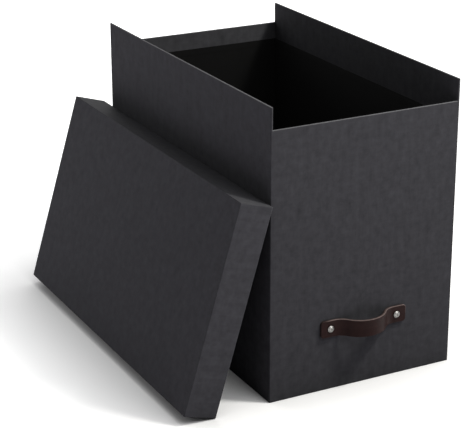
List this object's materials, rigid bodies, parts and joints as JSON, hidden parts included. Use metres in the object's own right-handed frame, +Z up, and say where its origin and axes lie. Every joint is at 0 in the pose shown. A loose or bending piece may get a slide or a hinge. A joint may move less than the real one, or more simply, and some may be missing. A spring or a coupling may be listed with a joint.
{
  "type": "portable file box",
  "caption": "Open covered-board file box with tall side walls, low end rims for hanging files, a riveted leather strap handle and a loose lid leaning on its side.",
  "frame": {"origin": "centre of the underside of the box, on the ground", "axes": "+Z up; -Y out of the front wall, which carries the handle; +X to the right seen from the front, away from the leaning lid"},
  "size_m": [0.264, 0.357, 0.2606],
  "materials": {
    "board": "raw grey board",
    "covering_paper": "charcoal, matt, faintly woven",
    "base_paper": "charcoal, matt",
    "lining_paper": "black, matt",
    "strap_leather": "dark brown, smooth, semi-matt",
    "rivet_metal": "nickel plated, polished"
  },
  "bodies": {
    "box": {"base_board": "board", "front_board": "board", "back_board": "board", "left_board": "board", "right_board": "board", "outer_wrap": "covering_paper", "base_sheet": "base_paper", "floor_lining": "lining_paper", "front_lining": "lining_paper", "back_lining": "lining_paper", "left_lining": "lining_paper", "right_lining": "lining_paper", "handle_strap": "strap_leather", "rivets": "rivet_metal", "rivet_caps": "rivet_metal"},
    "lid": {"lid_top_board": "board", "lid_front_board": "board", "lid_back_board": "board", "lid_left_board": "board", "lid_right_board": "board", "lid_wrap": "covering_paper", "lid_lining": "lining_paper"}
  },
  "joints": [
    {"name": "lid_lift", "type": "slide", "parent": "box", "child": "lid", "axis": [0, 0, 1], "range_m": [0, 0.29]}
  ]
}
